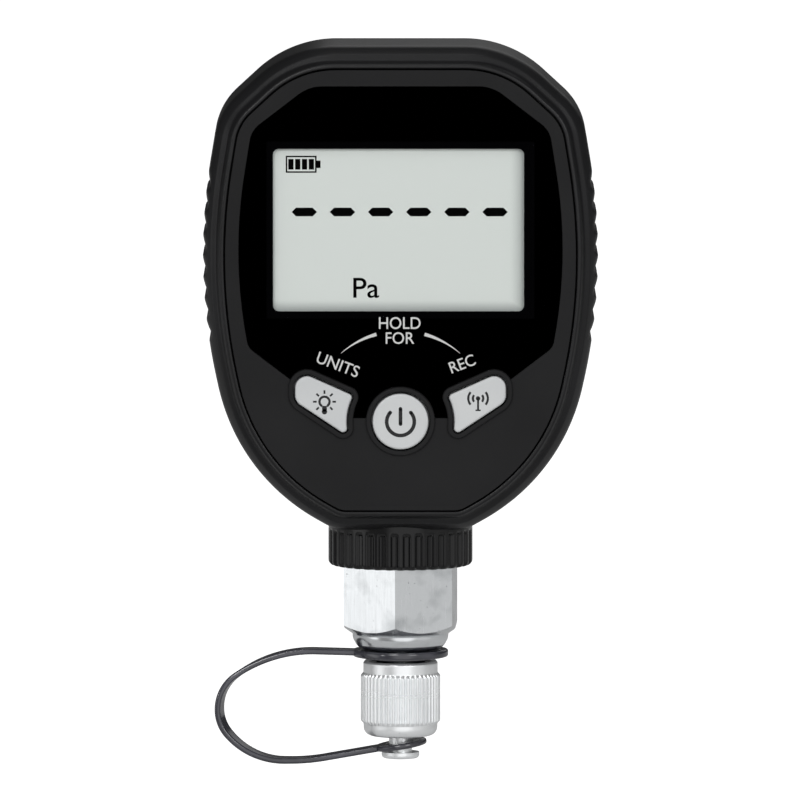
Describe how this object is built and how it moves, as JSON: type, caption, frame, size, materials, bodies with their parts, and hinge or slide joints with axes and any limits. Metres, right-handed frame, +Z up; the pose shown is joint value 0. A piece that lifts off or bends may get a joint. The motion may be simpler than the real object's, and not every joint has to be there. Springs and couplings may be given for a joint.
{
  "type": "digital vacuum gauge",
  "caption": "Handheld digital vacuum gauge: rounded case in a rubber bumper, wide display window, push keys, and a hexagon fitting whose male flare has a tethered knurled cap.",
  "frame": {"origin": "centre of the flare's nose, at the free end of the fitting, on the fitting's axis", "axes": "+Z up along the fitting's axis towards the case, -Y the way the display faces, +X to the right of the display as seen from the front"},
  "size_m": [0.0804, 0.039, 0.1477],
  "materials": {
    "bumper_rubber": "matte moulded rubber",
    "case_plastic": "fine matte texture",
    "lens_clear": "glossy clear window",
    "display_glass": "satin polariser over a bright reflector",
    "frame_plastic": "matte white",
    "light_guide": "polished",
    "strip_rubber": "matte",
    "board_laminate": "satin solder mask",
    "chip_plastic": "matte",
    "shield_metal": "tinned sheet",
    "mat_silicone": "matte silicone",
    "key_plastic": "satin light grey",
    "cell_wrap": "printed sleeve, plain here",
    "contact_metal": "nickel plated",
    "screw_steel": "zinc plated",
    "collar_plastic": "semi-gloss moulded",
    "seal_rubber": "matte",
    "nut_brass": "machined",
    "fitting_metal": "bright machined, nickel plated",
    "cap_metal": "bright turned, nickel plated",
    "flex_film": "film",
    "strap_plastic": "semi-gloss flexible strap"
  },
  "bodies": {
    "gauge": {"bumper": "bumper_rubber", "front_case": "case_plastic", "rear_case": "case_plastic", "case_gasket": "seal_rubber", "case_screws": "screw_steel", "display_lens": "lens_clear", "lcd_glass": "display_glass", "lcd_frame": "frame_plastic", "backlight": "light_guide", "zebra_strips": "strip_rubber", "main_pcb": "board_laminate", "processor_chip": "chip_plastic", "radio_module": "shield_metal", "keypad_mat": "mat_silicone", "batteries": "cell_wrap", "battery_contacts": "contact_metal", "battery_cover": "case_plastic", "battery_cover_screw": "screw_steel", "collar_nut": "collar_plastic", "neck_seal": "seal_rubber", "lock_nut": "nut_brass", "fitting": "fitting_metal", "sensor_seal": "seal_rubber", "sensor_can": "shield_metal", "sensor_leads": "contact_metal", "sensor_board": "board_laminate", "sensor_flex": "flex_film", "cap_tether": "strap_plastic"},
    "power_button": {"power_key": "key_plastic"},
    "light_button": {"light_key": "key_plastic"},
    "link_button": {"link_key": "key_plastic"},
    "rivet": {"cap_rivet": "cap_metal"},
    "cap": {"flare_cap": "cap_metal", "cap_seal": "seal_rubber"}
  },
  "joints": [
    {"name": "power_push", "type": "slide", "parent": "gauge", "child": "power_button", "axis": [0, 1, 0], "range_m": [0, 0.0006], "stiffness_N_per_m": 2500},
    {"name": "light_push", "type": "slide", "parent": "gauge", "child": "light_button", "axis": [0, 1, 0], "range_m": [0, 0.0006], "stiffness_N_per_m": 2500},
    {"name": "link_push", "type": "slide", "parent": "gauge", "child": "link_button", "axis": [0, 1, 0], "range_m": [0, 0.0006], "stiffness_N_per_m": 2500},
    {"name": "cap_slide", "type": "slide", "parent": "gauge", "child": "rivet", "axis": [0, 0, -1], "range_m": [0, 0.0125], "deforming": ["cap_tether"]},
    {"name": "cap_turn", "type": "hinge", "parent": "rivet", "child": "cap", "pos_m": [0, 0, 0], "axis": [0, 0, -1], "range_deg": [0, 3540]}
  ],
  "couplings": [
    {"joint": "cap_slide", "follows": "cap_turn", "m_per_rad": 0.00020213}
  ]
}
